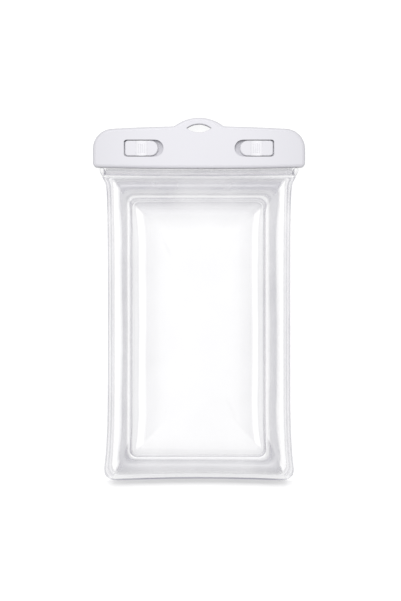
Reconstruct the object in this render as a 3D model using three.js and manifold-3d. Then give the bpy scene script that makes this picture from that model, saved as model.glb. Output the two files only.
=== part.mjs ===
// A waterproof phone pouch: a clear film bag with an air-filled cushion frame round its window,
// closed by a white clip whose two halves are held together by sliding locks.
// Sizes are in millimetres. The pouch lies on its back: +Z is the front, +Y points to the lanyard
// eye, and the origin is the middle of its footprint on the surface that it lies on.
import * as THREE from 'three';
import { mergeVertices } from 'three/addons/utils/BufferGeometryUtils.js';
import Module from 'manifold-3d';

const wasm = await Module();
wasm.setup();

// Overall sizes
const clipWidth = 127;
const clipHeight = 25.3;
const clipThickness = 15;
const eyeRise = 5.1;
const bagLength = 187.7;
const bagWaistWidth = 109.4;

// Places that follow from them
const pouchLength = bagLength + clipHeight + eyeRise;
const bagBottomY = -pouchLength / 2;
const mouthY = bagBottomY + bagLength;
const clipTopY = mouthY + clipHeight;
const middleZ = clipThickness / 2;

// Clearances between pieces
const seatGap = 0.3;
const partingGap = 0.3;
const filmGap = 0.2;

// Clip shells
const upperCornerRadius = 12;
const lowerCornerRadius = 2.6;
const topCrown = 1.5;
const lowerCrown = 0.7;
const edgeRounding = 1.8;
const sideWall = 1.8;
const faceWall = 1.8;
const ribThickness = 1.2;

// Lanyard eye
const eyeBaseWidth = 29.4;
const eyeShoulderBlend = 0.8;
const eyeHoleLength = 15;
const eyeHoleHeight = 5.2;
const eyeHoleBelowTop = 6.3;
const eyeCountersink = 0.25;
const eyeCountersinkDepth = 0.25;
const eyeBossWall = 1.8;

// Sliding locks and the catch posts that they grip
const lockFromClipEnd = 29.4;
const lockAboveMouth = 12.1;
const windowLength = 23.7;
const windowHeight = 10.1;
const windowCornerRadius = 1.5;
const buttonCornerRadius = 1.9;
const lockTravel = 2.6;
const buttonEndGap = 0.7;
const buttonSideGap = 0.5;
const buttonBelowFace = 0.3;
const buttonRounding = 0.5;
const slidePlateThickness = 1;
const slidePlateMargin = 1.4;
const gripRibs = 4;
const gripPitch = 1.2;
const gripRibLength = 6;
const gripRibRadius = 0.42;
const gripDishRadius = 13;
const gripDishDepth = 0.5;
const postRadius = 1.4;
const postNeckRadius = 0.9;
const postHeadRadius = 1.6;
const postHeadThickness = 1;

// Jaw bars and gaskets inside the clip
const jawThickness = 2;
const gasketWidth = 3;
const gasketDepth = 1;
const gasketStand = 0.25;
const gasketAboveMouth = 5;

// Films
const filmThickness = 0.4;
const filmInClip = 8;
const flangeWidth = 3.5;
const bottomCornerRadius = 7.4;
const bottomFlare = 2.7;
const upperFlare = 1;
const bottomBow = 0.5;
const waistShare = 0.52;
const neckHeight = 5.7;
const clipPastMouth = 4.1;
const cushionTopFlange = 3;

// Stiffening strips welded across the mouth, front and back
const stripBelowMouth = 4.8;
const stripIntoClip = 1.7;
const stripEndRadius = 2.2;

// Air cushion round the window, and the window itself
const cushionSideWidth = 9;
const cushionTopWidth = 11.4;
const cushionBottomWidth = 9;
const cushionRise = 4.4;
const cushionDrop = 3.2;
const cushionCrestShift = 1.3;
const seamWidth = 2.4;
const seamCornerRadius = 5;
const seamRise = 1;
const windowRise = 4.8;
const windowShoulder = 13;
const backShoulder = 11;

// Materials
const clipWhite = new THREE.MeshStandardMaterial({ color: 0xeeedf2, roughness: 0.42 });
const lockWhite = new THREE.MeshStandardMaterial({ color: 0xefeef3, roughness: 0.38 });
const gasketWhite = new THREE.MeshStandardMaterial({ color: 0xd9dbde, roughness: 0.7 });
const clearFilm = new THREE.MeshStandardMaterial({
  color: 0xe9ebee,
  roughness: 0.12,
  transparent: true,
  opacity: 0.3,
});
const mistyFilm = new THREE.MeshStandardMaterial({
  color: 0xd2d1d6,
  roughness: 0.3,
  transparent: true,
  opacity: 0.7,
});

// Solids: three.js shapes go in, joined or cut shapes come out

function toSolid(geometry) {
  const bare = geometry.index ? geometry.toNonIndexed() : geometry.clone();
  bare.deleteAttribute('normal');
  bare.deleteAttribute('uv');
  const merged = mergeVertices(bare, 1e-4);
  return new wasm.Manifold(
    new wasm.Mesh({
      numProp: 3,
      vertProperties: merged.attributes.position.array,
      triVerts: new Uint32Array(merged.index.array),
    }),
  );
}

function toGeometry(solid) {
  const mesh = solid.getMesh();
  const geometry = new THREE.BufferGeometry();
  geometry.setAttribute('position', new THREE.BufferAttribute(mesh.vertProperties, 3));
  geometry.setIndex(new THREE.BufferAttribute(mesh.triVerts, 1));
  geometry.computeVertexNormals();
  return geometry;
}

function joined(solids) {
  return solids.reduce((all, solid) => all.add(solid));
}

function cut(solid, cutters) {
  return cutters.reduce((rest, cutter) => rest.subtract(cutter), solid);
}

// Turns what was drawn facing +Z towards the back, about the parting plane
function faceDown(solid) {
  return solid.mirror([0, 0, 1]);
}

function boxBetween([x0, x1], [y0, y1], [z0, z1]) {
  const box = new THREE.BoxGeometry(x1 - x0, y1 - y0, z1 - z0);
  box.translate((x0 + x1) / 2, (y0 + y1) / 2, (z0 + z1) / 2);
  return toSolid(box);
}

function prism(shape, z0, z1, curveSegments = 4) {
  const geometry = new THREE.ExtrudeGeometry(shape, {
    depth: z1 - z0,
    bevelEnabled: false,
    curveSegments,
  });
  geometry.translate(0, 0, z0);
  return toSolid(geometry);
}

// A profile of [radius, z] points turned about Z
function turned(profile, segments = 16) {
  const points = profile.map(([radius, z]) => new THREE.Vector2(radius, z));
  return new THREE.LatheGeometry(points, segments).rotateX(Math.PI / 2);
}

function mesh(name, geometry, material) {
  const made = new THREE.Mesh(geometry, material);
  made.name = name;
  return made;
}

// Small formulas

const { lerp, smoothstep } = THREE.MathUtils;

function smoothMax(a, b, blend) {
  const overlap = Math.max(blend - Math.abs(a - b), 0);
  return Math.max(a, b) + (overlap * overlap) / (4 * blend);
}

function evenly(from, to, steps) {
  return Array.from({ length: steps + 1 }, (_, i) => lerp(from, to, i / steps));
}

// Clip outline: crowned top and lower edges, large upper corners, and the eye's arc on top

const clipHalf = clipWidth / 2;
const upperCornerX = clipHalf - upperCornerRadius;
const lowerCornerX = clipHalf - lowerCornerRadius;
const eyeHalf = eyeBaseWidth / 2;
const eyeArcRadius = (eyeHalf ** 2 + eyeRise ** 2) / (2 * eyeRise);
const eyeHoleY = clipTopY + eyeRise - eyeHoleBelowTop;
const lockX = clipHalf - lockFromClipEnd;
const neckHalf = clipHalf - clipPastMouth;
const neckFlare = neckHalf - bagWaistWidth / 2 - upperFlare;

function lowerEdge(x) {
  return mouthY + lowerCrown * (x / lowerCornerX) ** 2;
}

function topEdge(x) {
  return clipTopY - topCrown * (x / upperCornerX) ** 2;
}

function topEdgeWithEye(x) {
  const arc = clipTopY + eyeRise - eyeArcRadius + Math.sqrt(Math.max(eyeArcRadius ** 2 - x * x, 0));
  return smoothMax(topEdge(x), arc, eyeShoulderBlend);
}

function clipShape({ inset = 0, withEye = false } = {}) {
  const upperRadius = Math.max(upperCornerRadius - inset, 0.5);
  const lowerRadius = Math.max(lowerCornerRadius - inset, 0.5);
  const side = clipHalf - inset;
  const upperX = side - upperRadius;
  const lowerX = side - lowerRadius;
  const upperY = topEdge(upperX) - inset - upperRadius;
  const lowerY = lowerEdge(lowerX) + inset + lowerRadius;
  const eyeZone = eyeHalf + 2;
  const top = withEye
    ? [...evenly(upperX, eyeZone, 3).slice(1, -1), ...evenly(eyeZone, -eyeZone, 20),
       ...evenly(-eyeZone, -upperX, 3).slice(1, -1)]
    : evenly(upperX, -upperX, 6).slice(1, -1);
  const shape = new THREE.Shape();
  shape.absarc(lowerX, lowerY, lowerRadius, -Math.PI / 2, 0, false);
  shape.absarc(upperX, upperY, upperRadius, 0, Math.PI / 2, false);
  top.forEach((x) => shape.lineTo(x, (withEye ? topEdgeWithEye(x) : topEdge(x)) - inset));
  shape.absarc(-upperX, upperY, upperRadius, Math.PI / 2, Math.PI, false);
  shape.absarc(-lowerX, lowerY, lowerRadius, Math.PI, 1.5 * Math.PI, false);
  evenly(-lowerX, lowerX, 6).slice(1, -1).forEach((x) => shape.lineTo(x, lowerEdge(x) + inset));
  return shape;
}

// The clip as one closed block with rounded edges, before it is split into its two halves
function clipBlock() {
  const geometry = new THREE.ExtrudeGeometry(clipShape({ withEye: true }), {
    depth: clipThickness - 2 * edgeRounding,
    bevelThickness: edgeRounding,
    bevelSize: edgeRounding,
    bevelOffset: -edgeRounding,
    bevelSegments: 3,
    curveSegments: 4,
  });
  geometry.translate(0, 0, edgeRounding - middleZ);
  return toSolid(geometry);
}

// Two arcs that meet in a point at each end
function lensShape(halfLength, halfHeight) {
  const radius = (halfLength ** 2 + halfHeight ** 2) / (2 * halfHeight);
  const sweep = Math.asin(halfLength / radius);
  const shape = new THREE.Shape();
  shape.absarc(0, eyeHoleY + halfHeight - radius, radius, Math.PI / 2 - sweep, Math.PI / 2 + sweep);
  shape.absarc(0, eyeHoleY - halfHeight + radius, radius, 1.5 * Math.PI - sweep, 1.5 * Math.PI + sweep);
  return shape;
}

function eyeHoleCutter() {
  const lens = lensShape(eyeHoleLength / 2, eyeHoleHeight / 2);
  const countersink = new THREE.ExtrudeGeometry(lens, {
    depth: 1,
    bevelThickness: eyeCountersinkDepth,
    bevelSize: eyeCountersink,
    bevelSegments: 1,
    curveSegments: 10,
  });
  countersink.translate(0, 0, middleZ);
  const front = toSolid(countersink);
  return joined([prism(lens, -middleZ, middleZ, 10), front, faceDown(front)]);
}

function eyeBoss(extra) {
  const halfLength = eyeHoleLength / 2 + eyeBossWall + extra;
  const halfHeight = eyeHoleHeight / 2 + eyeBossWall + extra;
  const boss = new THREE.CylinderGeometry(1, 1, 2 * clipThickness, 24);
  boss.rotateX(Math.PI / 2).scale(halfLength, halfHeight, 1).translate(0, eyeHoleY, 0);
  return toSolid(boss);
}

// Levels inside the clip, measured out from the parting plane. Both halves use them.

const filmStep = filmThickness + filmGap;
const filmFace = filmGap / 2 + filmThickness;
const stripBack = filmFace + 2 * filmStep;
const gasketFace = filmFace + seatGap;
const jawFace = gasketFace + gasketStand;
const jawBack = jawFace + jawThickness;
const slidePlateFace = jawBack + seatGap;
const slidePlateBack = slidePlateFace + slidePlateThickness;
const railFace = slidePlateBack + seatGap;
const shellInside = middleZ - faceWall;
const postTop = railFace + postHeadThickness;
const buttonTop = middleZ - buttonBelowFace;

// Sliding lock, drawn about its catch post with +X pointing to the clip's near end

const lockY = mouthY + lockAboveMouth;
const windowOuter = windowLength / 2 - 1;
const windowInner = windowOuter - windowLength;
const buttonOuter = windowOuter - buttonEndGap;
const buttonInner = windowInner + buttonEndGap + lockTravel;
const buttonHalf = windowHeight / 2 - buttonSideGap;
const slidePlateHalf = windowHeight / 2 + slidePlateMargin;
const slidePlateOuter = windowOuter + lockTravel + slidePlateMargin / 2;
const slidePlateInner = windowInner - slidePlateMargin;

// Square at the outer end and fully round at the inner end
function lockOutline(outer, inner, half, cornerRadius) {
  const shape = new THREE.Shape();
  shape.absarc(outer - cornerRadius, half - cornerRadius, cornerRadius, 0, Math.PI / 2, false);
  shape.absarc(inner + half, 0, half, Math.PI / 2, 1.5 * Math.PI, false);
  shape.absarc(outer - cornerRadius, cornerRadius - half, cornerRadius, -Math.PI / 2, 0, false);
  return shape;
}

function windowCutter() {
  const outline = lockOutline(windowOuter, windowInner, windowHeight / 2, windowCornerRadius);
  return prism(outline, railFace - 1, middleZ + 1, 5);
}

// The button stands up through the window: dished for the thumb, with grip ribs across the dish
function lockButton() {
  const outline = lockOutline(buttonOuter, buttonInner, buttonHalf, buttonCornerRadius);
  const geometry = new THREE.ExtrudeGeometry(outline, {
    depth: buttonTop - slidePlateFace - 2 * buttonRounding,
    bevelThickness: buttonRounding,
    bevelSize: buttonRounding,
    bevelOffset: -buttonRounding,
    bevelSegments: 2,
    curveSegments: 5,
  });
  geometry.translate(0, 0, slidePlateFace + buttonRounding);
  const middle = (buttonOuter + buttonInner) / 2;
  const dish = new THREE.CylinderGeometry(gripDishRadius, gripDishRadius, windowHeight, 72);
  dish.translate(middle, 0, buttonTop + gripDishRadius - gripDishDepth);
  const ribs = evenly(-1, 1, gripRibs - 1).map((side) => {
    const rib = new THREE.CapsuleGeometry(gripRibRadius, gripRibLength - 2 * gripRibRadius, 2, 8);
    return toSolid(rib.translate(
      middle + (side * gripPitch * (gripRibs - 1)) / 2,
      0,
      buttonTop - gripDishDepth,
    ));
  });
  return joined([toSolid(geometry).subtract(toSolid(dish)), ...ribs]);
}

function slidePlate() {
  const shape = new THREE.Shape();
  shape.moveTo(slidePlateInner, -slidePlateHalf);
  shape.lineTo(slidePlateOuter, -slidePlateHalf);
  shape.lineTo(slidePlateOuter, slidePlateHalf);
  shape.lineTo(slidePlateInner, slidePlateHalf);
  shape.closePath();
  return prism(shape, slidePlateFace, slidePlateBack);
}

// A slot that grips the post's neck when locked, and a round end that lets the head out
function keyhole() {
  const slotHalf = postNeckRadius + seatGap;
  const holeRadius = postHeadRadius + seatGap;
  const slot = new THREE.Shape();
  slot.absarc(0, 0, slotHalf, Math.PI / 2, 1.5 * Math.PI, false);
  slot.lineTo(lockTravel, -slotHalf);
  slot.lineTo(lockTravel, slotHalf);
  const release = new THREE.Shape();
  release.absarc(lockTravel, 0, holeRadius, 0, 2 * Math.PI, false);
  const depth = [slidePlateFace - 1, slidePlateBack + seatGap];
  return joined([prism(slot, ...depth), prism(release, ...depth, 6)]);
}

// Room inside the button for the post's head, over the whole travel
function headPocket() {
  const radius = postHeadRadius + seatGap;
  const shape = new THREE.Shape();
  shape.absarc(0, 0, radius, Math.PI / 2, 1.5 * Math.PI, false);
  shape.absarc(lockTravel, 0, radius, -Math.PI / 2, Math.PI / 2, false);
  return prism(shape, slidePlateBack, postTop + seatGap, 5);
}

const lockGeometry = toGeometry(
  cut(joined([slidePlate(), lockButton()]), [keyhole(), headPocket()]),
);

function slideLock(name, side) {
  const lock = mesh(name, lockGeometry, lockWhite);
  lock.position.set(side * lockX, lockY, middleZ);
  lock.scale.x = side;
  return lock;
}

// Clip halves, drawn about the parting plane with +Z pointing out of the half

function atBothLocks(solid) {
  const right = solid.translate([lockX, lockY, 0]);
  const left = solid.mirror([1, 0, 0]).translate([-lockX, lockY, 0]);
  return [right, left];
}

// Two rails either side of each lock's slide plate, from the shell's face to their own face
function lockRails() {
  const inner = slidePlateHalf + seatGap;
  const ends = [slidePlateInner - lockTravel, slidePlateOuter + seatGap];
  const depth = [slidePlateFace, middleZ];
  return joined([
    boxBetween(ends, [inner, inner + ribThickness], depth),
    boxBetween(ends, [-inner - ribThickness, -inner], depth),
  ]);
}

// A thick frame round each window, under which the slide plate runs
function windowFrame() {
  const ends = [slidePlateInner - lockTravel, slidePlateOuter + seatGap];
  const half = slidePlateHalf + seatGap + ribThickness;
  return boxBetween(ends, [-half, half], [railFace, middleZ]);
}

function crossRib(x) {
  return boxBetween(
    [x - ribThickness / 2, x + ribThickness / 2],
    [mouthY, clipTopY],
    [jawBack + seatGap, middleZ],
  );
}

function clipHalfShell(ribPlaces, keepers) {
  const room = prism(clipShape({ inset: sideWall }), -1, shellInside);
  const ribs = ribPlaces.map(crossRib);
  const cavity = cut(room, [eyeBoss(0), ...ribs, ...keepers]);
  const otherHalf = boxBetween(
    [-clipWidth, clipWidth],
    [mouthY - clipHeight, clipTopY + clipHeight],
    [-clipThickness, partingGap / 2],
  );
  const filmSlot = boxBetween(
    [-neckHalf - seatGap, neckHalf + seatGap],
    [mouthY - 1, mouthY + sideWall + lowerCrown + 1],
    [-1, stripBack + seatGap],
  );
  return cut(clipBlock(), [otherHalf, cavity, filmSlot, eyeHoleCutter()]);
}

const endRibX = lockX + slidePlateOuter + seatGap + 2 * ribThickness;

function frontShell() {
  const keepers = atBothLocks(joined([lockRails(), windowFrame()]));
  return cut(clipHalfShell([0], keepers), atBothLocks(windowCutter()));
}

function backShell() {
  return faceDown(clipHalfShell([0, endRibX, -endRibX], []));
}

// Jaw bar: fills the shell's opening, with a groove for its gasket

const gasketY = mouthY + gasketAboveMouth;
const gasketHalfLength = neckHalf - 1;

function gasketShape(extra) {
  const half = gasketWidth / 2 + extra;
  const length = gasketHalfLength + extra;
  const shape = new THREE.Shape();
  shape.absarc(length - half, gasketY, half, -Math.PI / 2, Math.PI / 2, false);
  shape.absarc(half - length, gasketY, half, Math.PI / 2, 1.5 * Math.PI, false);
  return shape;
}

function jawBar() {
  const bar = prism(clipShape({ inset: sideWall + seatGap }), jawFace, jawBack);
  const groove = prism(gasketShape(seatGap), 0, jawFace + gasketDepth, 3);
  return cut(bar, [eyeBoss(seatGap), groove]);
}

function frontJaw() {
  const hole = turned(
    [[0, 0], [postHeadRadius + seatGap, 0], [postHeadRadius + seatGap, jawBack + 1], [0, jawBack + 1]],
    20,
  );
  return cut(jawBar(), atBothLocks(toSolid(hole)));
}

// The catch post rises from the back jaw through the front jaw and into the lock
function catchPost() {
  const neckFrom = slidePlateFace - seatGap / 2;
  return turned([
    [0, -jawFace - 1],
    [postRadius, -jawFace - 1],
    [postRadius, neckFrom - 0.5],
    [postNeckRadius, neckFrom],
    [postNeckRadius, railFace],
    [postHeadRadius, railFace],
    [postHeadRadius, postTop - 0.4],
    [postHeadRadius - 0.4, postTop],
    [0, postTop],
  ]);
}

function backJaw() {
  return joined([faceDown(jawBar()), ...atBothLocks(toSolid(catchPost()))]);
}

function gasket() {
  return prism(gasketShape(0), gasketFace, jawFace + gasketDepth - seatGap, 3);
}

// Film loops: closed outlines with the same points in the same order, to be lofted in turn

const loopSteps = { end: 4, corner: 4, side: 10, neck: 4 };
const neckShare = 0.08;
const waistY = lerp(mouthY, bagBottomY, waistShare);
const neckY = mouthY - neckHeight;

// How far the film's edge stands out from its waist at a height, because the air pulls the
// middle of each side in and leaves the corners where they were cut
function edgeFlare(y, loop) {
  const below = y < waistY;
  const reach = below ? waistY - bagBottomY : neckY - waistY;
  const share = Math.min(Math.abs(y - waistY) / reach, 1);
  const neck = loop.neckFlare * smoothstep(y, neckY - 2.5, mouthY - 2);
  return (below ? loop.bottomFlare : loop.upperFlare) * share ** 4 + neck;
}

function loopPoints(loop) {
  const { halfWidth, bottom, top, bottomRadius, topRadius } = loop;
  const lowX = halfWidth - bottomRadius;
  const highX = halfWidth - topRadius;
  const lowY = bottom + bottomRadius;
  const highY = top - topRadius;
  const points = [];
  const arc = (x, y, radius, from) => {
    for (let i = 0; i < loopSteps.corner; i++) {
      const angle = from + (i / loopSteps.corner) * (Math.PI / 2);
      points.push([x + radius * Math.cos(angle), y + radius * Math.sin(angle)]);
    }
  };
  evenly(-lowX, lowX, loopSteps.end).slice(0, -1).forEach((x) => points.push([x, bottom]));
  arc(lowX, lowY, bottomRadius, -Math.PI / 2);
  const climb = [
    ...evenly(0, 1, loopSteps.side).map((f) => (1 - neckShare) * f ** 1.5),
    ...evenly(1 - neckShare, 1, loopSteps.neck).slice(1),
  ].map((share) => lerp(lowY, highY, share));
  climb.slice(0, -1).forEach((y) => points.push([halfWidth, y]));
  arc(highX, highY, topRadius, 0);
  evenly(highX, -highX, loopSteps.end).slice(0, -1).forEach((x) => points.push([x, top]));
  arc(-highX, highY, topRadius, Math.PI / 2);
  climb.reverse().slice(0, -1).forEach((y) => points.push([-halfWidth, y]));
  arc(-lowX, lowY, bottomRadius, Math.PI);
  return points.map(([x, y]) => {
    const up = (y - bottom) / (top - bottom);
    const bow = loop.bow * Math.max(1 - (x / lowX) ** 2, 0) * (1 - up);
    return new THREE.Vector3(x + (x / halfWidth) * edgeFlare(y, loop), y + bow, loop.z);
  });
}

// The loop a share of the way from one loop to another
function between(a, b, share) {
  return Object.fromEntries(Object.keys(a).map((key) => [key, lerp(a[key], b[key], share)]));
}

function insetLoop(loop, sides, bottom, top, changes) {
  return {
    ...loop,
    halfWidth: loop.halfWidth - sides,
    bottom: loop.bottom + bottom,
    top: loop.top - top,
    ...changes,
  };
}

// A sheet of film lofted through loops, from its outer edge inwards. It is closed in the middle
// with a flat panel, or left open as a frame, and then given its thickness.
function filmSheet(loops, closed) {
  const rings = loops.map(loopPoints);
  const count = rings[0].length;
  const triangles = [];
  for (let r = 0; r + 1 < rings.length; r++) {
    for (let i = 0; i < count; i++) {
      const next = (i + 1) % count;
      const [a, b] = [r * count + i, r * count + next];
      const [c, d] = [a + count, b + count];
      triangles.push(a, b, d, a, d, c);
    }
  }
  if (closed) {
    const start = (rings.length - 1) * count;
    const panel = THREE.ShapeUtils.triangulateShape(rings.at(-1), []);
    panel.forEach((face) => triangles.push(...face.map((i) => start + i)));
  }
  return thickened(rings.flat(), triangles);
}

// Moves copies of a surface's points out along their normals both ways and closes the rim
function thickened(points, triangles) {
  const surface = new THREE.BufferGeometry().setFromPoints(points);
  surface.setIndex(triangles);
  surface.computeVertexNormals();
  const normals = surface.getAttribute('normal');
  const moved = (distance) =>
    points.map((p, i) => new THREE.Vector3().fromBufferAttribute(normals, i)
      .multiplyScalar(distance).add(p));
  const front = moved(filmThickness / 2);
  const back = moved(-filmThickness / 2);
  const offset = points.length;
  const faces = [...triangles];
  const edges = new Map();
  for (let i = 0; i < triangles.length; i += 3) {
    const [a, b, c] = triangles.slice(i, i + 3);
    faces.push(c + offset, b + offset, a + offset);
    [[a, b], [b, c], [c, a]].forEach(([from, to]) => edges.set(`${from} ${to}`, [from, to]));
  }
  for (const [from, to] of edges.values()) {
    if (edges.has(`${to} ${from}`)) continue;
    faces.push(to, from, from + offset, to, from + offset, to + offset);
  }
  const geometry = new THREE.BufferGeometry().setFromPoints([...front, ...back]);
  geometry.setIndex(faces);
  geometry.computeVertexNormals();
  return geometry;
}

// The film layers at the outer weld, from the back: back film, front film, cushion film
const backFlangeZ = middleZ - filmStep / 2;
const frontFlangeZ = middleZ + filmStep / 2;
const cushionFlangeZ = frontFlangeZ + filmStep;

const filmEdge = {
  halfWidth: bagWaistWidth / 2,
  bottom: bagBottomY,
  top: mouthY + filmInClip,
  bottomRadius: bottomCornerRadius,
  topRadius: 1,
  bottomFlare,
  upperFlare,
  neckFlare,
  bow: bottomBow,
  z: frontFlangeZ,
};

// Where the outer weld ends and the films part
const weldInside = insetLoop(filmEdge, flangeWidth, flangeWidth, 0, {
  top: neckY,
  bottomRadius: bottomCornerRadius - 2,
  topRadius: 2.5,
  bottomFlare: bottomFlare * 0.8,
  neckFlare: 0,
});

const seamOutside = insetLoop(weldInside, cushionSideWidth, cushionBottomWidth, cushionTopWidth, {
  bottomRadius: seamCornerRadius,
  topRadius: seamCornerRadius,
  bottomFlare: bottomFlare * 0.25,
  upperFlare: upperFlare * 0.25,
  bow: bottomBow * 0.4,
  z: frontFlangeZ + seamRise,
});

const seamInside = insetLoop(seamOutside, seamWidth, seamWidth, seamWidth, {
  bottomRadius: seamCornerRadius - 1.4,
  topRadius: seamCornerRadius - 1.4,
});

const windowPanel = insetLoop(seamInside, windowShoulder, windowShoulder, windowShoulder, {
  bottomRadius: 2.2,
  topRadius: 2.2,
  bottomFlare: 0,
  upperFlare: 0,
  bow: 0,
});

// The cushion's wall bulges between its two welds, with the crest nearer to the window
function cushionLoops(bulge, lift) {
  return [0.08, 0.25, 0.5, 0.75, 0.92].map((share) => {
    const loop = between(weldInside, seamOutside, share);
    const along = share ** cushionCrestShift;
    return { ...loop, z: loop.z + lift + bulge * (4 * along * (1 - along)) ** 0.6 };
  });
}

function windowLoops() {
  return [0.1, 0.28, 0.56, 1].map((share) => ({
    ...between(seamInside, windowPanel, share),
    z: seamInside.z + windowRise * (1 - (1 - share) ** 2.6),
  }));
}

function frontFilm() {
  return filmSheet(
    [
      filmEdge,
      weldInside,
      ...cushionLoops(-cushionDrop, 0),
      seamOutside,
      seamInside,
      ...windowLoops(),
    ],
    true,
  );
}

function cushionFilm() {
  const outerEdge = { ...filmEdge, top: neckY + cushionTopFlange, z: cushionFlangeZ };
  return filmSheet(
    [
      outerEdge,
      { ...weldInside, z: cushionFlangeZ },
      ...cushionLoops(cushionRise, filmStep),
      { ...seamOutside, z: seamOutside.z + filmStep },
      { ...seamInside, z: seamInside.z + filmStep },
    ],
    false,
  );
}

// The back film curves down from the weld and lies flat where it rests
function backFilm() {
  const restZ = filmThickness / 2;
  const flat = insetLoop(weldInside, backShoulder, backShoulder, backShoulder + 3, {
    bottomRadius: 3,
    topRadius: 3,
    bottomFlare: 0,
    upperFlare: 0,
    bow: 0,
  });
  const curve = [0.08, 0.22, 0.42, 0.68, 1].map((share) => ({
    ...between(weldInside, flat, share),
    z: lerp(backFlangeZ, restZ, 1 - (1 - share) ** 2.4),
  }));
  const edge = { ...filmEdge, z: backFlangeZ };
  return filmSheet([edge, { ...weldInside, z: backFlangeZ }, ...curve], true);
}

function mouthStrip(z) {
  const half = neckHalf;
  const [low, high] = [mouthY - stripBelowMouth, mouthY + stripIntoClip];
  const radius = stripEndRadius;
  const shape = new THREE.Shape();
  shape.absarc(half - radius, low + radius, radius, -Math.PI / 2, 0, false);
  shape.absarc(half - radius, high - radius, radius, 0, Math.PI / 2, false);
  shape.absarc(radius - half, high - radius, radius, Math.PI / 2, Math.PI, false);
  shape.absarc(radius - half, low + radius, radius, Math.PI, 1.5 * Math.PI, false);
  return toGeometry(prism(shape, z - filmThickness / 2, z + filmThickness / 2, 3));
}

// Assembly

const clip = new THREE.Group();
clip.position.z = middleZ;
clip.add(
  mesh('front_shell', toGeometry(frontShell()), clipWhite),
  mesh('back_shell', toGeometry(backShell()), clipWhite),
  mesh('front_jaw', toGeometry(frontJaw()), clipWhite),
  mesh('back_jaw', toGeometry(backJaw()), clipWhite),
  mesh('front_gasket', toGeometry(gasket()), gasketWhite),
  mesh('back_gasket', toGeometry(faceDown(gasket())), gasketWhite),
);

const bag = new THREE.Group();
bag.add(
  mesh('front_film', frontFilm(), clearFilm),
  mesh('cushion_film', cushionFilm(), clearFilm),
  mesh('back_film', backFilm(), clearFilm),
  mesh('front_mouth_strip', mouthStrip(cushionFlangeZ + filmStep), mistyFilm),
  mesh('back_mouth_strip', mouthStrip(backFlangeZ - filmStep), mistyFilm),
);

const pouch = new THREE.Group();
pouch.add(clip, bag, slideLock('left_lock', -1), slideLock('right_lock', 1));

export default pouch;
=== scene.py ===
# %% [markdown]
# # A waterproof phone pouch in clear film
#
# The pouch is a bag of clear film with an air cushion welded round its window, and a white clip
# that shuts its mouth. It lies on its back on a white table and is seen from straight above.
# The clip, the jaws and the sliding locks come from the CAD model, and get their plastic here.
# The films come from here, because film that is blown up with air has a softer form than a CAD
# solid has. Blender works in metres. Sizes are written in millimetres, such as 12 * mm.

import math

import bmesh
import bpy
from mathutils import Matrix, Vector


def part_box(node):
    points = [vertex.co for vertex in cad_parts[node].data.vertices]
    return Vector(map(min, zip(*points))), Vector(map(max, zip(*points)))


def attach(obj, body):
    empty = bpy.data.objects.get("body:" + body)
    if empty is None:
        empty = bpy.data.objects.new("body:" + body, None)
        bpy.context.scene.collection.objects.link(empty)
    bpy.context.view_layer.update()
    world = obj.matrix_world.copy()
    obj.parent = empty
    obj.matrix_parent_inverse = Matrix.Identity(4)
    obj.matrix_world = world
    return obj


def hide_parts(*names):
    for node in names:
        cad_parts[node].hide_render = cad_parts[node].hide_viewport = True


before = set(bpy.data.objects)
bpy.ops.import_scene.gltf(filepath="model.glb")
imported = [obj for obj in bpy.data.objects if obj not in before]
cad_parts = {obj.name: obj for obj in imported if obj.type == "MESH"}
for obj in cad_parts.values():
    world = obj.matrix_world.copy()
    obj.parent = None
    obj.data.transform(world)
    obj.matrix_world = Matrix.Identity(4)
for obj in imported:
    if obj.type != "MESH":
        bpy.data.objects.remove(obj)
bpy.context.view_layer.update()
mm = 0.001
in_mm = 1 / mm

# %% [markdown]
# ## Places that the films need
#
# A size is read from the CAD nodes wherever they hold it, so that the films keep fitting the clip.
# The rest are the cuts and welds of the bag: where its edge lies, and how far in from the edge the
# outer weld ends, the seam round the window starts and ends, and the window lies flat.

# %% Read the places from the CAD model
front_low, front_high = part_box("front_film")
strip_low, strip_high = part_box("front_mouth_strip")
shell_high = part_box("front_shell")[1]

film_thickness = 0.4 * mm
film_step = 0.6 * mm
parting_z = 7.5 * mm
front_z = parting_z + film_step / 2
cushion_z = front_z + film_step
back_z = parting_z - film_step / 2

bottom_pull = 0.4 * mm
bag_bottom = front_low.y + bottom_pull
bag_top = front_high.y
mouth_y = bag_top - 8 * mm
neck_y = mouth_y - 5.7 * mm
waist_half = 54.7 * mm

weld_end = 3.5 * mm
seam_start = 12.5 * mm
seam_end = 14.9 * mm
flat_start = 27.9 * mm
print("mouth at", round(mouth_y / mm, 2), "mm, bottom at", round(bag_bottom / mm, 2), "mm")

# %% [markdown]
# ## The camera
#
# The photograph was taken from straight above with a long lens: the sides of the clip don't show,
# and only a thin line of the upper wall inside the lanyard eye does. A distance of about two
# metres gives that line its width. The lens then follows from the size of the view.

# %% Place the camera
photo_rows = 601
row_height = 0.6 * mm
view_height = photo_rows * row_height
camera_distance = 2.2
camera_centre = (0.9 * mm, -0.4 * mm)
sensor = 36.0

camera_data = bpy.data.cameras.new("camera_above")
camera = bpy.data.objects.new("camera_above", camera_data)
bpy.context.collection.objects.link(camera)
camera.location = (*camera_centre, camera_distance)
camera_data.sensor_width = sensor
camera_data.lens = sensor * (camera_distance - parting_z) / view_height
camera_data.clip_end = 20
bpy.context.scene.camera = camera
print("lens", round(camera_data.lens, 1), "mm")

# %% [markdown]
# ## Working in edit mode
#
# Each piece starts as a primitive and is shaped in edit mode. An operator acts on all that is
# selected, so nothing may be left selected by chance: `only` makes one object the active and the
# only selected one, and `pick` selects the parts of its mesh that lie in the right place.

# %% Helpers for modelling


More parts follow.
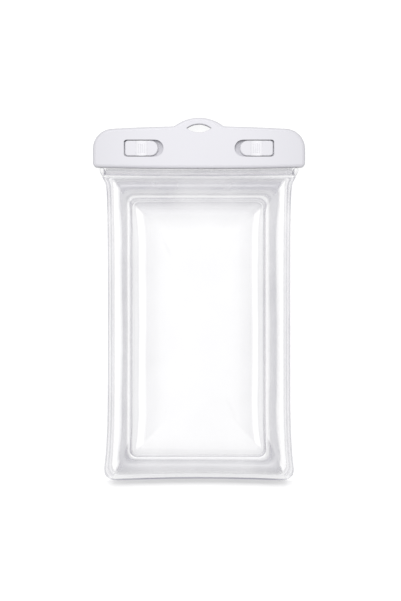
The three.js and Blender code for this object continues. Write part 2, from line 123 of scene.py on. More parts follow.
def only(piece):
    """Make a piece the active object and the only one selected."""
    if bpy.context.object and bpy.context.object.mode != "OBJECT":
        bpy.ops.object.mode_set(mode="OBJECT")
    bpy.ops.object.select_all(action="DESELECT")
    piece.select_set(True)
    bpy.context.view_layer.objects.active = piece
    return piece


def edit(piece):
    """Start editing a piece's verts, with nothing in it selected."""
    only(piece)
    bpy.ops.object.mode_set(mode="EDIT")
    bpy.ops.mesh.select_mode(type="VERT")
    bpy.ops.mesh.select_all(action="DESELECT")


def pick(piece, parts, wanted):
    """In edit mode, select the verts or edges that wanted() says yes to, and no others."""
    mesh = bmesh.from_edit_mesh(piece.data)
    for part in getattr(mesh, parts):
        part.select_set(bool(wanted(part)))
    mesh.select_flush_mode()
    bmesh.update_edit_mesh(piece.data)


def done():
    """Leave edit mode."""
    bpy.ops.object.mode_set(mode="OBJECT")


def soften(piece):
    """Subdivide a piece once and shade it smooth."""
    only(piece)
    modifier = piece.modifiers.new("subdivision", "SUBSURF")
    modifier.levels = 1
    modifier.render_levels = 1
    bpy.ops.object.modifier_apply(modifier=modifier.name)
    bpy.ops.object.shade_smooth()


def report(piece):
    """Print a piece's size and its number of faces."""
    print(piece.name, [round(v / mm, 1) for v in piece.dimensions], len(piece.data.polygons))


# %% [markdown]
# ## How the film is built
#
# A welded bag is a set of outlines, one inside the other: the cut edge, the inner edge of the
# outer weld, the crest of the air cushion, the edges of the seam round the window, and the flat
# of the window. So each sheet of film is lofted through such outlines, as a shipbuilder lofts a
# hull through its frames. One outline is a plane whose face is deleted, so that its four edges
# stay. Its corners are bevelled round and its sides are subdivided. All outlines have the same
# number of points, so each can be bridged to the next with a clean band of faces, and the corners
# come out mitred, as on the real cushion.

# %% An outline
corner_steps = 5
side_steps = 26
end_steps = 8
crowding = 0.75


def outline(half_width, bottom, top, bottom_radius, top_radius, z):
    """One closed outline with round corners, as an object of edges alone."""
    bpy.ops.mesh.primitive_plane_add(size=1, location=(0, 0, 0))
    loop = only(bpy.context.object)
    middle = (top + bottom) / 2
    edit(loop)
    bpy.ops.mesh.select_all(action="SELECT")
    bpy.ops.transform.resize(value=(2 * half_width, top - bottom, 1))
    bpy.ops.transform.translate(value=(0, middle, z))
    bpy.ops.mesh.delete(type="ONLY_FACE")
    for radius, side in ((bottom_radius, -1), (top_radius, 1)):
        pick(loop, "verts", lambda v: (v.co.y - middle) * side > 0)
        bpy.ops.mesh.bevel(affect="VERTICES", offset=radius, segments=corner_steps, profile=0.5)
    bpy.ops.mesh.select_mode(type="EDGE")
    for steps, axis in ((side_steps, 1), (end_steps, 0)):
        longest = (top - bottom) / 3 if axis == 1 else half_width / 3
        pick(loop, "edges", lambda e: abs(e.verts[0].co[axis] - e.verts[1].co[axis]) > longest)
        bpy.ops.mesh.subdivide(number_cuts=steps - 1)
    done()
    low, high = bottom + bottom_radius, top - top_radius
    for vertex in loop.data.vertices:
        share = (vertex.co.y - low) / (high - low)
        if 0 < share < 1:
            share -= crowding * math.sin(2 * math.pi * share) / (2 * math.pi)
            vertex.co.y = low + (high - low) * share
    return loop


# %% [markdown]
# ## The pull of the air
#
# When air goes in, each straight edge of the bag is pulled inwards and the corners stay where
# they were cut. That gives the real bag its waist and a lower edge that bows up a little. The
# mouth is held by the clip, so just below the clip the film widens to the full width again, within
# a few millimetres. That is why an outline's points lie closer together towards the ends of its
# long sides. On the right the seam round the window was welded a little nearer to the middle.
#
# Not all of a sheet follows that pull. The cut edge follows it in full, the outer weld almost, the
# tube of the cushion less and less, and the seam round the window only by a share of 0.3.

# %% The bag's waist
waist_share = 0.48
waist_y = bag_bottom + waist_share * (mouth_y - bag_bottom)
bottom_flare = 3.4 * mm
upper_flare = 1.0 * mm
neck_flare = 3.7 * mm
bottom_bow = 1.5 * mm
bow_reach = 30 * mm
widening_start = neck_y - 4.2 * mm
widening_end = mouth_y - 2.3 * mm

right_seam_shift = 1.4 * mm
shift_start = 9 * mm
shift_end = 26 * mm
shift_middle = 20 * mm
shift_side = 32 * mm

weld_follow = 0.95
seam_follow = 0.3


def smooth(low, high, value):
    """Zero below low, one above high, and smooth between."""
    share = min(max((value - low) / (high - low), 0), 1)
    return share * share * (3 - 2 * share)


def flare(y):
    """How far the bag's side stands out from its waist at a height."""
    if y < waist_y:
        return bottom_flare * min((waist_y - y) / (waist_y - bag_bottom), 1) ** 5
    upper = upper_flare * min((y - waist_y) / (neck_y - waist_y), 1) ** 4
    return upper + neck_flare * smooth(widening_start, widening_end, y)


def tube_follow(share):
    """How far a point between the outer weld and the seam follows the pull of the air."""
    return 0.9 - 0.6 * share


def blow_up(sheet, insets, follows):
    """Give a sheet its waist and its bowed lower edge. Each point follows by its own share."""
    for vertex, inset, follow in zip(sheet.data.vertices, insets, follows):
        x, y, _ = vertex.co
        at_seam = smooth(shift_start, seam_start, inset) * (1 - smooth(seam_end, shift_end, inset))
        vertex.co.x -= right_seam_shift * at_seam * smooth(shift_middle, shift_side, x)
        vertex.co.x += x / waist_half * flare(y) * follow
        near_bottom = 1 - smooth(bag_bottom, bag_bottom + bow_reach, y)
        vertex.co.y += bottom_bow * max(1 - (x / waist_half) ** 2, 0) * near_bottom * follow


print("half width at the waist and at the bottom, mm:", round(waist_half / mm, 1),
      round((waist_half + flare(bag_bottom)) / mm, 1))

# %% [markdown]
# ## How far in from the edge
#
# Every outline lies a known way in from the bag's cut edge. That distance, in millimetres, goes
# into the mesh as an attribute, so that the film's material can lay its bands along the outlines,
# however the air has pulled them.

# %% Loft a sheet of film
outer_weld = dict(half_width=waist_half, bottom=bag_bottom, top=bag_top,
                  bottom_radius=7.4 * mm, top_radius=1 * mm)
weld_inside = dict(half_width=waist_half - weld_end, bottom=bag_bottom + weld_end, top=neck_y,
                   bottom_radius=6.4 * mm, top_radius=2.5 * mm)
seam_outside = dict(half_width=waist_half - seam_start, bottom=bag_bottom + 13.3 * mm,
                    top=neck_y - 11.4 * mm, bottom_radius=5 * mm, top_radius=5 * mm)
seam_inside = dict(half_width=waist_half - seam_end, bottom=bag_bottom + 15.7 * mm,
                   top=neck_y - 13.8 * mm, bottom_radius=3.6 * mm, top_radius=3.6 * mm)
window_flat = dict(half_width=waist_half - flat_start, bottom=bag_bottom + 28.7 * mm,
                   top=neck_y - 26.8 * mm, bottom_radius=2.4 * mm, top_radius=2.4 * mm)
stack_step = 20 * mm


def between(a, b, share):
    """The outline a share of the way from outline a to outline b."""
    return {key: a[key] + (b[key] - a[key]) * share for key in a}


def film_sheet(name, stations, closed):
    """Loft a sheet through stations: an outline, its height, and how far it follows the air's pull.

    The outlines are bridged as a tall stack, where each has a clear neighbour, and each is then
    lowered to its own height.
    """
    loops = [outline(**shape, z=k * stack_step) for k, (shape, _, _) in enumerate(stations)]
    points = len(loops[0].data.vertices)
    sheet = only(loops[0])
    for loop in loops[1:]:
        loop.select_set(True)
    bpy.ops.object.join()
    sheet.name = sheet.data.name = name
    edit(sheet)
    for first in range(len(stations) - 1):
        low, high = first * points, (first + 2) * points
        pick(sheet, "verts", lambda v: low <= v.index < high)
        bpy.ops.mesh.select_mode(type="EDGE")
        bpy.ops.mesh.bridge_edge_loops()
        bpy.ops.mesh.select_mode(type="VERT")
    if closed:
        last = (len(stations) - 1) * points
        pick(sheet, "verts", lambda v: v.index >= last)
        bpy.ops.mesh.edge_face_add()
    bpy.ops.mesh.select_all(action="SELECT")
    bpy.ops.mesh.normals_make_consistent(inside=False)
    done()
    inset = sheet.data.attributes.new("inset", "FLOAT", "POINT")
    insets = []
    follows = []
    for vertex in sheet.data.vertices:
        shape, z, follow = stations[vertex.index // points]
        vertex.co.z = z
        insets.append(waist_half - shape["half_width"])
        inset.data[vertex.index].value = insets[-1] / mm
        follows.append(follow)
    sheet.data.update()
    if sum(face.normal.z * face.area for face in sheet.data.polygons) < 0:
        edit(sheet)
        bpy.ops.mesh.select_all(action="SELECT")
        bpy.ops.mesh.flip_normals()
        done()
    blow_up(sheet, insets, follows)
    soften(sheet)
    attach(sheet, "pouch")
    print(len(stations), "outlines of", points, "points each make:")
    report(sheet)
    return sheet


# %% [markdown]
# ## The air cushion
#
# The cushion is one sheet welded to the front film along the outer edge and again round the
# window. Air between the two welds blows it up into a tube. The tube rises steeply from the outer
# weld, has a broad crest and falls steeply to the seam.

# %% Blow up the cushion's sheet
cushion_profile = ((0.04, 0.9), (0.12, 2.6), (0.25, 4.0), (0.42, 4.5), (0.58, 4.4), (0.72, 3.8),
                   (0.84, 2.8), (0.95, 1.5))
cushion_edge_y = neck_y + 0.8 * mm
seam_rise = 1 * mm


def cushion_stations():
    """The cushion's outlines, from its cut edge to the seam round the window."""
    edge = {**outer_weld, "top": cushion_edge_y}
    stations = [(between(edge, weld_inside, share), cushion_z, 1) for share in (0, 0.1, 0.5, 0.8)]
    stations.append((weld_inside, cushion_z, weld_follow))
    for share, rise in cushion_profile:
        shape = between(weld_inside, seam_outside, share)
        stations.append((shape, cushion_z + rise * mm, tube_follow(share)))
    for share in (0, 0.5, 1):
        shape = between(seam_outside, seam_inside, share)
        stations.append((shape, cushion_z + seam_rise, seam_follow))
    return stations


cushion_sheet = film_sheet("air_cushion", cushion_stations(), closed=False)
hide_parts("cushion_film")

# %% [markdown]
# ## The front film and its window
#
# Below the cushion the front film bulges down into the pocket. Inside the seam it rises as a
# low pillow and then lies almost flat: that is the window that the phone is seen and used through.

# %% Blow up the front film
tube_floor = ((0.1, -1.6), (0.3, -2.9), (0.55, -3.2), (0.8, -2.2), (0.93, -0.6))
window_profile = ((0.04, 0.9), (0.10, 2.0), (0.20, 3.2), (0.36, 4.1), (0.55, 4.6), (0.78, 4.8),
                  (1.00, 4.8), (1.5, 4.8))


def front_stations():
    """The front film's outlines, from its cut edge to the flat of the window."""
    stations = [(between(outer_weld, weld_inside, share), front_z, 1) for share in (0, 0.1, 0.8)]
    stations.append((weld_inside, front_z, weld_follow))
    for share, drop in tube_floor:
        shape = between(weld_inside, seam_outside, share)
        stations.append((shape, front_z + drop * mm, tube_follow(share)))
    seam_z = front_z + seam_rise
    stations += [(seam_outside, seam_z, seam_follow), (seam_inside, seam_z, seam_follow)]
    for share, rise in window_profile:
        shape = between(seam_inside, window_flat, share)
        stations.append((shape, seam_z + rise * mm, max(seam_follow * (1 - share), 0)))
    return stations


front_sheet = film_sheet("front_window_film", front_stations(), closed=True)
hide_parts("front_film")

# %% [markdown]
# ## The back film
#
# The back film is plain. It curves down from the outer weld and lies on the table.

# %% Lay out the back film
back_profile = ((0.06, 0.24), (0.16, 0.46), (0.32, 0.70), (0.55, 0.90), (0.80, 0.985), (1.0, 1.0))
back_curve = 11 * mm
back_curve_top = 14 * mm
above_table = 0.02 * mm


def back_stations():
    """The back film's outlines, from its cut edge down to the flat that it rests on."""
    flat = dict(half_width=weld_inside["half_width"] - back_curve,
                bottom=weld_inside["bottom"] + back_curve, top=weld_inside["top"] - back_curve_top,
                bottom_radius=3 * mm, top_radius=3 * mm)
    rest_z = film_thickness / 2 + above_table
    stations = [(outer_weld, back_z, 1), (between(outer_weld, weld_inside, 0.8), back_z, 1),
                (weld_inside, back_z, weld_follow)]
    for share, drop in back_profile:
        z = back_z + (rest_z - back_z) * drop
        stations.append((between(weld_inside, flat, share), z, 0.9 * (1 - share)))
    return stations


back_sheet = film_sheet("back_resting_film", back_stations(), closed=True)
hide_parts("back_film")

# %% [markdown]
# ## The mouth strips
#
# A stiffer strip of film is welded on each side of the mouth. It has two soft beads along it, and
# at both ends a drop of clear film that was squeezed out by the weld. Its upper edge goes into
# the clip.

# %% Press the beads and set the drops
drop_length, drop_width, drop_height = 3.4 * mm, 5.4 * mm, 1.6 * mm
drop_lean = 0.35
drop_lift = 0.2 * mm
bead_height = 0.45 * mm
beads_top = mouth_y - 0.6 * mm


def mouth_strip(name, node, side):
    """A beaded strip in the place of a CAD strip. Side is 1 for the front and -1 for the back."""
    low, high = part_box(node)
    middle = (low + high) / 2
    length = high.x - low.x - 2 * drop_length
    bpy.ops.mesh.primitive_grid_add(x_subdivisions=40, y_subdivisions=16, size=1,
                                    location=(0, 0, 0))
    strip = only(bpy.context.object)
    strip.name = strip.data.name = name
    edit(strip)
    bpy.ops.mesh.select_all(action="SELECT")
    bpy.ops.transform.resize(value=(length, high.y - low.y, 1))
    bpy.ops.transform.translate(value=(0, middle.y, middle.z))
    done()
    for vertex in strip.data.vertices:
        down = (beads_top - vertex.co.y) / (beads_top - low.y)
        if down > 0:
            vertex.co.z += side * bead_height * math.sin(2 * math.pi * down) ** 2
    drops = []
    for end in (-1, 1):
        place = (end * (high.x - drop_length / 2), low.y + drop_width / 2 + drop_lift, middle.z)
        bpy.ops.mesh.primitive_uv_sphere_add(segments=24, ring_count=12, radius=0.5,
                                             location=(0, 0, 0))
        drop = only(bpy.context.object)
        edit(drop)
        bpy.ops.mesh.select_all(action="SELECT")
        bpy.ops.transform.resize(value=(drop_length, drop_width, drop_height))
        bpy.ops.transform.rotate(value=end * drop_lean, orient_axis="Z", center_override=(0, 0, 0))
        bpy.ops.transform.translate(value=place)
        done()
        drops.append(drop)
    only(strip)
    for drop in drops:
        drop.select_set(True)
    bpy.ops.object.join()
    bpy.ops.object.shade_smooth()
    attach(strip, "pouch")
    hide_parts(node)
    report(strip)
    return strip


front_strip = mouth_strip("front_beaded_strip", "front_mouth_strip", 1)
back_strip = mouth_strip("back_beaded_strip", "back_mouth_strip", -1)

# %% [markdown]
# ## Shader maths in plain Python
#
# A material is a small formula, and formulas read best as such. `Value` wraps one output socket,
# so that `a * b + 1` adds the Math nodes for it. Most shades here begin or end at some place and
# need a little way to do so. `past` and `before` say just that.

# %% A socket that can be reckoned with


class Material:
    """A node material whose nodes are added by name and settings."""

    def __init__(self, name):
        self.material = bpy.data.materials.new(name)
        self.material.use_nodes = True
        self.tree = self.material.node_tree
        self.tree.nodes.clear()

    def node(self, kind, inputs=None, **settings):
        """Add a node, set what it is told, then fill or link its sockets."""
        made = self.tree.nodes.new(kind)
        for setting, value in settings.items():
            setattr(made, setting, value)
        for socket, value in (inputs or {}).items():
            if isinstance(value, Value):
                self.tree.links.new(value.socket, made.inputs[socket])
            elif isinstance(value, bpy.types.NodeSocket):
                self.tree.links.new(value, made.inputs[socket])
            else:
                made.inputs[socket].default_value = value
        return made

    def value(self, made, output=0):
        """Wrap a node's output for use in a formula."""
        return Value(self, made.outputs[output])

    def surface(self, shader):
        """Give the material its surface."""
        self.node("ShaderNodeOutputMaterial", {"Surface": shader.outputs[0]})
        return self.material


class Value:
    """A number that varies over a surface."""

    def __init__(self, owner, socket):
        self.owner = owner
        self.socket = socket

    def _maths(self, operation, first, second=0.0, clamp=False):
        made = self.owner.node("ShaderNodeMath", {0: first, 1: second}, operation=operation,
                               use_clamp=clamp)
        return Value(self.owner, made.outputs[0])

    def __add__(self, other):
        return self._maths("ADD", self, other)

    __radd__ = __add__

    def __sub__(self, other):
        return self._maths("SUBTRACT", self, other)

    def __rsub__(self, other):
        return self._maths("SUBTRACT", other, self)

    def __mul__(self, other):
        return self._maths("MULTIPLY", self, other)

    __rmul__ = __mul__

    def __pow__(self, power):
        return self._maths("POWER", self, power)

    def __abs__(self):
        return self._maths("ABSOLUTE", self)

    def clamped(self):
        """The value held between zero and one."""
        return self._maths("ADD", self, 0.0, clamp=True)

    def past(self, start, reach):
        """Zero up to a start, and one from a reach further on."""
        return ((self - start) * (1 / reach)).clamped()

    def before(self, end, reach):
        """One up to a reach short of an end, and zero from the end on."""
        return ((end - self) * (1 / reach)).clamped()


# %% [markdown]
# ## Clear film
#
# Clear film hides almost nothing where it lies flat. It looks grey where it bends the dark of
# the room into view: along its welds, on the steep flanks of the cushion, and all over the two
# end tubes. These greys are painted reflection and shade: they are painted into the film in bands
# along the outlines, as grey that hides some of the table. So the material holds three rows of
# stops, for the sides, the top and the bottom. A stop is a distance in from the cut edge, in
# millimetres, and a painted shade: the share of the table's light that is lost there.
#
# The back film is plain but for its lower weld, which is milky white: that hides nothing against a
# white table, and gives the bag's lower edge its shadow.

# %% The rows of stops
# The greys in these rows are painted reflection and shade.
cushion_sides = (
    (0.0, 0.18), (0.4, 0.22), (0.9, 0.11), (1.5, 0.15), (2.0, 0.22), (2.5, 0.27), (3.1, 0.12),
    (3.7, 0.21), (4.2, 0.03), (4.7, 0.0), (6.6, 0.0), (7.7, 0.07), (8.3, 0.14), (8.9, 0.29),
    (9.8, 0.29), (11.4, 0.25), (12.0, 0.08), (12.5, 0.0), (13.0, 0.04), (13.7, 0.28), (14.3, 0.31),
    (14.9, 0.24),
)
cushion_top = (
    (2.4, 0.24), (3.0, 0.20), (3.5, 0.27), (4.0, 0.32), (4.7, 0.30), (5.6, 0.35), (6.8, 0.35),
    (8.5, 0.36), (9.6, 0.28), (10.4, 0.26), (11.0, 0.32), (11.5, 0.28), (12.0, 0.12),
    (12.5, 0.16), (13.2, 0.34), (13.8, 0.27), (14.4, 0.25), (14.9, 0.20),
)
cushion_bottom = (
    (0.0, 0.52), (0.4, 0.58), (0.6, 0.52), (0.85, 0.05), (1.7, 0.0), (2.2, 0.04), (2.8, 0.05),
    (3.3, 0.04), (4.0, 0.20), (4.7, 0.27), (7.0, 0.26), (9.2, 0.21), (10.6, 0.26), (11.7, 0.30),
    (12.3, 0.14), (12.95, 0.0), (13.3, 0.08), (13.7, 0.34), (14.3, 0.18), (14.9, 0.13),
)
window_sides = (
    (0.0, 0.12), (0.5, 0.14), (1.0, 0.0), (14.8, 0.05), (15.3, 0.18), (15.9, 0.14), (17.1, 0.14),
    (18.2, 0.16), (18.8, 0.06), (19.4, 0.0), (21.8, 0.0), (22.5, 0.09), (23.5, 0.14),
    (26.0, 0.12), (28.5, 0.10), (31.0, 0.08), (33.5, 0.067),
)
window_top = (
    (14.6, 0.0), (15.1, 0.20), (15.6, 0.32), (16.2, 0.27), (17.0, 0.25), (17.8, 0.23),
    (18.8, 0.20), (20.0, 0.21), (21.3, 0.21), (22.6, 0.175), (23.8, 0.15), (27.5, 0.10),
    (31.0, 0.067),
)
window_bottom = (
    (14.6, 0.0), (15.2, 0.16), (15.8, 0.14), (16.5, 0.135), (17.8, 0.12), (18.8, 0.09),
    (20.6, 0.08), (22.4, 0.075), (25.0, 0.067),
)
plain = ((0.0, 0.0), (30.0, 0.0))
milky_weld = ((0.0, 0.10), (0.3, 0.48), (3.4, 0.48), (4.0, 0.0))
print("stops across the cushion:", len(cushion_sides), len(cushion_top), len(cushion_bottom))

# %% [markdown]
# ## How the bands lie on the film
#
# The three rows meet in soft mitres at the corners. A mitre is a line that leans: it rises by so
# many millimetres for each one that it goes across. Near the corners the bands of the long sides
# also bend outwards. A soft cloud moves the bands between the welds a little to and fro, as on
# film that was blown up by mouth. Seen at a slant, film also mirrors more than it lets through:
# there Layer Weight makes it paler and less clear, a painted reflection.
#
# Each sheet is a single face thick. Cycles follows a ray through eight clear faces at most, and
# three sheets with two faces each, and the strips, would come near to that.

# %% The film's material
# Painted reflection and shade: the film's bands hide the table with this grey.
painted_reflection_grey = (0.31, 0.30, 0.36)
milky_white = (0.98, 0.98, 0.98)
# Painted reflection: film seen at a slant is painted this pale.
pale_mirror = (0.80, 0.80, 0.83)
least_alpha = 0.008
slant_alpha = 0.5
band_reach = 36.0
first_step = 0.0001
cloud_reach = 2.4

weld = weld_end / mm
seam_middle = (seam_start + seam_end) / 2 / mm
window_middle = -17.2
# Where something starts, and how many millimetres it takes.
off_weld = (weld + 0.9, 2.5)
off_seam = (0.8, 2)
corner_part = (49, 25)
clip_part = (50, 12.5)
outer_part = (26, 20)
round_part = (43, 11.1)

# How far the painted shade deepens by the clip and at the outer corners, and fades at the round
# corners.
by_clip_more = 0.6
outer_top_more = 0.1
outer_bottom_more = 0.35
round_corner_less = 0.6


def bands(film, place, stops):
    """Read a shade off a row of stops at a distance in from the edge."""
    ramp = film.node("ShaderNodeValToRGB", {"Fac": place * (1 / band_reach)})
    points = ramp.color_ramp.elements
    points.remove(points[1])
    points[0].position = 0
    points[0].color = (*[stops[0][1]] * 3, 1)
    for distance, shade in stops:
        points.new(distance / band_reach + first_step).color = (shade, shade, shade, 1)
    return film.value(ramp)


def facing_away(film):
    """Zero where a face is seen square on, and one where it is seen edge on."""
    return film.value(film.node("ShaderNodeLayerWeight", {"Blend": 0.5}), "Facing")


def film_skin(film, shade, roughness, bump, body=painted_reflection_grey):
    """The finish and painted grey of all film, and a painted reflection: paler where seen at a
    slant.

    Grey film sends some light back, so it must hide a little more than the shade.
    """
    # Painted reflection: paler and less clear where the film is seen edge on.
    steep = facing_away(film) ** 6
    colour = film.node("ShaderNodeMix", {0: (steep * 2).clamped(), 6: (*body, 1),
                                         7: (*pale_mirror, 1)}, data_type="RGBA")
    skin = film.node("ShaderNodeBsdfPrincipled", {
        "Base Color": colour.outputs[2],
        "Roughness": roughness,
        "IOR": 1.5,
        "Alpha": (shade * (1 / (1 - painted_reflection_grey[0])) + steep * slant_alpha + least_alpha).clamped(),
        "Normal": bump.outputs["Normal"],
    })
    return film.surface(skin)


def mitre(past_line, width):
    """Zero before a mitre and one past it, from how far past its line a point lies."""
    return past_line.past(-width / 2, width)


def sides_shade(film, inset, at, along, sides, bend):
    """The painted shade of the long sides: bent near the corners, and darker at the edge by the
    clip.
    """
    shift, bend_from, bend_to = bend
    bent = inset.past(bend_from, 2) * inset.before(bend_to, 2)
    near_corner = abs(along - window_middle).past(*corner_part) ** 2
    by_clip = along.past(*clip_part) * inset.before(weld - 0.3, 1)
    return bands(film, at + near_corner * bent * shift, sides) * (by_clip * by_clip_more + 1)


def clear_film(name, rows, leans, bend, body):
    """Film with painted bands of shade and reflection along its outlines."""
    film = Material(name)
    sides, top, bottom = rows
    inset = film.value(film.node("ShaderNodeAttribute", attribute_name="inset"), "Fac")
    place = film.node("ShaderNodeTexCoord").outputs["Object"]
    axes = film.node("ShaderNodeSeparateXYZ", {0: place})
    across = abs(film.value(axes, "X")) * in_mm
    along = film.value(axes, "Y") * in_mm
    cloud = film.node("ShaderNodeTexNoise", {"Vector": place, "Scale": 28.0, "Detail": 1.5})
    off_welds = inset.past(*off_weld) * abs(inset - seam_middle).past(*off_seam)
    wander = (film.value(cloud, "Fac") - 0.5) * off_welds * cloud_reach
    at = inset + wander
    top_lean, top_from, bottom_lean, bottom_from, width = leans
    above = mitre(along - across * top_lean + wander - top_from, width)
    below = mitre(-1 * along - across * bottom_lean + wander - bottom_from, width)
    outer = across.past(*outer_part) * inset.past(weld + 0.1, 0.5)
    shade = sides_shade(film, inset, at, along, sides, bend)
    shade = shade + (bands(film, at, top) * (outer * outer_top_more + 1) - shade) * above
    shade = shade + (bands(film, at, bottom) * (outer * outer_bottom_more + 1) - shade) * below
    round_corner = across.past(*round_part) * inset.before(weld - 0.9, 1.25) * below
    shade = shade * (1 - round_corner * round_corner_less)
    patches = film.node("ShaderNodeTexNoise", {"Vector": place, "Scale": 45.0, "Detail": 1.0})
    shade = shade * (film.value(patches, "Fac") * 0.5 + 0.75)
    ripple = film.node("ShaderNodeTexNoise", {"Vector": place, "Scale": 70.0, "Detail": 2.0})
    bump = film.node("ShaderNodeBump", {"Height": ripple.outputs["Fac"], "Strength": 0.06,
                                        "Distance": 0.002})
    return film_skin(film, shade, 0.25, bump, body)


cushion_rows = (cushion_sides, cushion_top, cushion_bottom)
window_rows = (window_sides, window_top, window_bottom)
back_rows = (plain, plain, milky_weld)
# Mitres: lean and start at the top, lean and start at the bottom, and width.
cushion_mitres = (1.5, -5.2, 2.2, -7.6, 2.38)
window_mitres = (1.0, 18.0, 1.0, 52.0, 2.22)
# Bends: how far the bands move, and between which two distances from the cut edge they do.
cushion_bend = (1.2, 5, 11)
window_bend = (2.4, 10, 60)
no_bend = (0, 0, 1)
for sheet, *looks in (
    (cushion_sheet, cushion_rows, cushion_mitres, cushion_bend, painted_reflection_grey),
    (front_sheet, window_rows, window_mitres, window_bend, painted_reflection_grey),
    (back_sheet, back_rows, cushion_mitres, no_bend, milky_white),
):
    sheet.data.materials.clear()
    sheet.data.materials.append(clear_film(sheet.name + "_clear", *looks))
    print(sheet.name, "shows", sheet.data.materials[0].name)

# %% [markdown]
# ## The films
#
# The front and the back film are flat cut sheets of the same size. The front film is stretched by
# the air and held by the jaws. The back film lies on the table. The cushion is blown up with air,
# which fills it to little more than half.

# %% [markdown]
# ## Misty strip
#
# The strips are thicker, so they look mistier, with a dark line of painted shadow near the lower
# edge. The drops at their ends are clear: they show only a dark rim where seen at a slant, a
# painted reflection. The pull of the clip bows the lines a little. A stop is again a distance in
# millimetres, here up from the strip's lower edge, and a painted shade.

# %% The strips' material
drop_from = (strip_high.x - drop_length) / mm + 0.5
drop_rim = 0.7
line_bow = 0.7
line_start = 0.3
# The dark stops near the lower edge are a painted shadow line.
strip_bands = ((0.0, 0.10), (0.4, 0.22), (0.9, 0.40), (1.5, 0.36), (2.1, 0.28), (2.8, 0.30),
               (3.9, 0.33), (4.9, 0.10), (6.5, 0.0))


def misty_film(name, strength):
    """Film with lines along the strip, a painted shadow line near its lower edge, and clear drops
    with a painted rim.
    """
    film = Material(name)
    place = film.node("ShaderNodeTexCoord").outputs["Object"]
    axes = film.node("ShaderNodeSeparateXYZ", {0: place})
    across = abs(film.value(axes, "X")) * in_mm
    bow = (across * (mm / waist_half)) ** 2
    up = (film.value(axes, "Y") - strip_low.y) * in_mm + bow * -line_bow + line_start
    body = 1 - across.past(drop_from, 1.1)
    # Painted reflection: a dark rim where a drop is seen at a slant.
    rim = facing_away(film) ** 2 * (1 - body) * drop_rim
    cloud = film.node("ShaderNodeTexNoise", {"Vector": place, "Scale": 60.0, "Detail": 1.0})
    shade = bands(film, up, strip_bands) * (film.value(cloud, "Fac") * 0.4 + 0.8)
    bump = film.node("ShaderNodeBump", {"Height": cloud.outputs["Fac"], "Strength": 0.05,
                                        "Distance": 0.001})
    return film_skin(film, (shade * body + rim) * strength, 0.2, bump)


for strip, strength in ((front_strip, 1.0), (back_strip, 0.1)):
    strip.data.materials.clear()
    strip.data.materials.append(misty_film(strip.name + "_misty", strength))
print("stops up the strip:", len(strip_bands))

# %% [markdown]
# ## White plastic
#
# The clip is moulded from white plastic with a fine satin texture. A trace of uneven colour in soft
# clouds and a very fine bump keep it from looking like a drawing. All its parts are also a little
# darker towards both ends of the clip, a painted shade. The locks' plastic also looks at depth: the
# grip's ribs are painted a little whiter, a painted light that evens out their shading, and down in
# the slot, where light hardly comes, it is painted darker, a painted shade.

# %% The plastics
lock_low, lock_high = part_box("left_lock")
slot_painted_shade = (0.2, 0.2, 0.23)
grip_painted_light = (0.93, 0.925, 0.95)


def shade_by_depth(plastic, colour, axes):
    """A lock's colour: painted light on the grip, painted shade in the slot, most at its upper
    edge.
    """
    depth = (lock_high.z - plastic.value(axes, "Z")) * in_mm
    # Painted light: the grip's ribs are lighter, which evens out their shading.
    grip = depth.past(0.05, 0.167) - depth.past(0.6, 0.333)
    lit = plastic.node("ShaderNodeMix", {0: grip, 6: colour, 7: (*grip_painted_light, 1)}, data_type="RGBA")
    # Painted shade down in the slot, strongest at its upper edge.
    upper = plastic.value(axes, "Y").past(lock_low.y, lock_high.y - lock_low.y)
    slot_shade_share = depth.past(1.0, 0.667) * (upper * 0.5 + 0.05)
    return plastic.node("ShaderNodeMix", {0: slot_shade_share, 6: lit.outputs[2], 7: (*slot_painted_shade, 1)},
                        data_type="RGBA").outputs[2]


def moulded_plastic(name, colour, shade, roughness, grain, deep=False):
    """Moulded plastic: two close shades in soft clouds, painted shade to both ends, and a fine
    bump.
    """
    plastic = Material(name)
    place = plastic.node("ShaderNodeTexCoord").outputs["Object"]
    axes = plastic.node("ShaderNodeSeparateXYZ", {0: place})
    clouds = plastic.node("ShaderNodeTexNoise", {"Vector": place, "Scale": 18.0, "Detail": 1.0})
    # Painted shade: darker towards both ends of the clip.
    painted_end_shade = abs(plastic.value(axes, "X") * (1 / shell_high.x)) ** 2.4
    darker = (plastic.value(clouds, "Fac") * 0.4 + painted_end_shade * 0.9 - 0.15).clamped()
    fine = plastic.node("ShaderNodeTexNoise", {"Vector": place, "Scale": 2600.0, "Detail": 1.0})
    mixed = plastic.node("ShaderNodeMix", {0: darker, 6: (*colour, 1),
                                           7: (*[c * shade for c in colour], 1)},
                         data_type="RGBA")
    base = shade_by_depth(plastic, mixed.outputs[2], axes) if deep else mixed.outputs[2]
    bump = plastic.node("ShaderNodeBump", {"Height": fine.outputs["Fac"], "Strength": grain,
                                           "Distance": 0.00005})
    rough = plastic.value(fine, "Fac") * 0.06 + (roughness - 0.03)
    skin = plastic.node("ShaderNodeBsdfPrincipled", {
        "Base Color": base,
        "Roughness": rough,
        "IOR": 1.5,
        "Normal": bump.outputs["Normal"],
    })
    return plastic.surface(skin)


clip_white = moulded_plastic("clip_white", (0.835, 0.828, 0.868), 0.905, 0.42, 0.25)
lock_white = moulded_plastic("lock_white", (0.84, 0.832, 0.87), 0.92, 0.36, 0.2, deep=True)
gasket_grey = moulded_plastic("gasket_grey", (0.66, 0.66, 0.69), 0.97, 0.6, 0.4)
finishes = {
    "front_shell": clip_white,
    "back_shell": clip_white,
    "front_jaw": clip_white,
    "back_jaw": clip_white,
    "left_lock": lock_white,
    "right_lock": lock_white,
    "front_gasket": gasket_grey,
    "back_gasket": gasket_grey,
}
for node, finish in finishes.items():
    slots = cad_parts[node].data.materials
    slots.clear()
    slots.append(finish)
print(len(finishes), "CAD nodes have their finish")

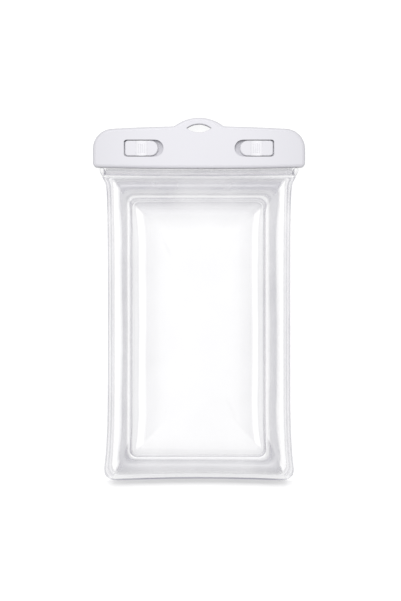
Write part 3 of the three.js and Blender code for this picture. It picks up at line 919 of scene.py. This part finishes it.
# %% [markdown]
# ## The table
#
# The table is white, and stays white in the picture wherever no shadow falls. In the photograph a
# shadow shows only along the bag's lower edge. So the table shines a little with a light of its
# own, which is seen, also through the film and mirrored in it, but lights nothing. It is weak just
# past the lower edge of the bag, where the shadow is to be seen. Where it is strong the table is
# darker by as much, so that both together stay white.

# %% The table
table_size = 8
shadow_start = 0.36
shadow_width = 2.2
under_bag = 0.66
beyond_shadow = 0.6
past_clip = 0.2
all_over = 0.05
darkening = 0.8

bpy.ops.mesh.primitive_grid_add(x_subdivisions=4, y_subdivisions=4, size=table_size,
                                location=(0, 0, 0))
table = bpy.context.object
table.name = "table"
paper = Material("white_table")
path = paper.node("ShaderNodeLightPath")
seen = (paper.value(path, "Is Camera Ray") + paper.value(path, "Is Transmission Ray")
        + paper.value(path, "Is Glossy Ray")).clamped()
axes = paper.node("ShaderNodeSeparateXYZ", {0: paper.node("ShaderNodeTexCoord").outputs["Object"]})
upward = paper.value(axes, "Y") * in_mm
sideways = abs(paper.value(axes, "X") * (1 / waist_half))
bow = (1 - sideways ** 2).clamped() * (bottom_bow / mm)
past_edge = bow - upward + (bag_bottom / mm - shadow_start)
beside_bag = sideways.past(0.93, 0.167) * past_edge.past(-3, 2)
own_light = (past_edge.before(0, 1.11) * under_bag + beside_bag * under_bag
             + past_edge.past(shadow_width, 3.03) * beyond_shadow
             + upward.past(20, 50) * past_clip + all_over).clamped()
grey = 1 - own_light * darkening
colour = paper.node("ShaderNodeCombineXYZ", {"X": grey, "Y": grey, "Z": grey})
matte = paper.node("ShaderNodeBsdfDiffuse", {"Color": colour.outputs[0]})
glow = paper.node("ShaderNodeEmission", {"Color": (1, 1, 1, 1), "Strength": seen * own_light})
both = paper.node("ShaderNodeAddShader", {0: matte.outputs[0], 1: glow.outputs[0]})
table.data.materials.append(paper.surface(both))
print("the table is", table_size, "metres wide, and its shadow band", shadow_width, "mm")

# %% [markdown]
# ## The light
#
# The photograph's light is soft and comes from all sides, and a little more of it from beyond the
# clip. An even pale sky and one broad lamp give that. The lamp stands high up beyond the clip, a
# little to the left, so that the bag's shadow falls below its lower edge.

# %% One lamp and the sky
sky_grey = (0.62, 0.62, 0.63, 1)
lamp_place = (-0.15, 0.68, 1.78)
lamp_width = 0.7
lamp_watts = 14.0

world = bpy.data.worlds.new("studio")
bpy.context.scene.world = world
world.use_nodes = True
background = world.node_tree.nodes["Background"]
background.inputs["Color"].default_value = sky_grey
background.inputs["Strength"].default_value = 1.0

softbox = bpy.data.lights.new("beyond_the_clip", "AREA")
softbox.shape = "SQUARE"
softbox.size = lamp_width
softbox.energy = lamp_watts
lamp = bpy.data.objects.new("beyond_the_clip", softbox)
bpy.context.collection.objects.link(lamp)
lamp.location = lamp_place
lamp.rotation_euler = Vector(lamp_place).to_track_quat("Z", "Y").to_euler()

bpy.context.scene.view_settings.view_transform = "Standard"
print("lamp", round(Vector(lamp_place).length, 2), "metres from the middle of the pouch")
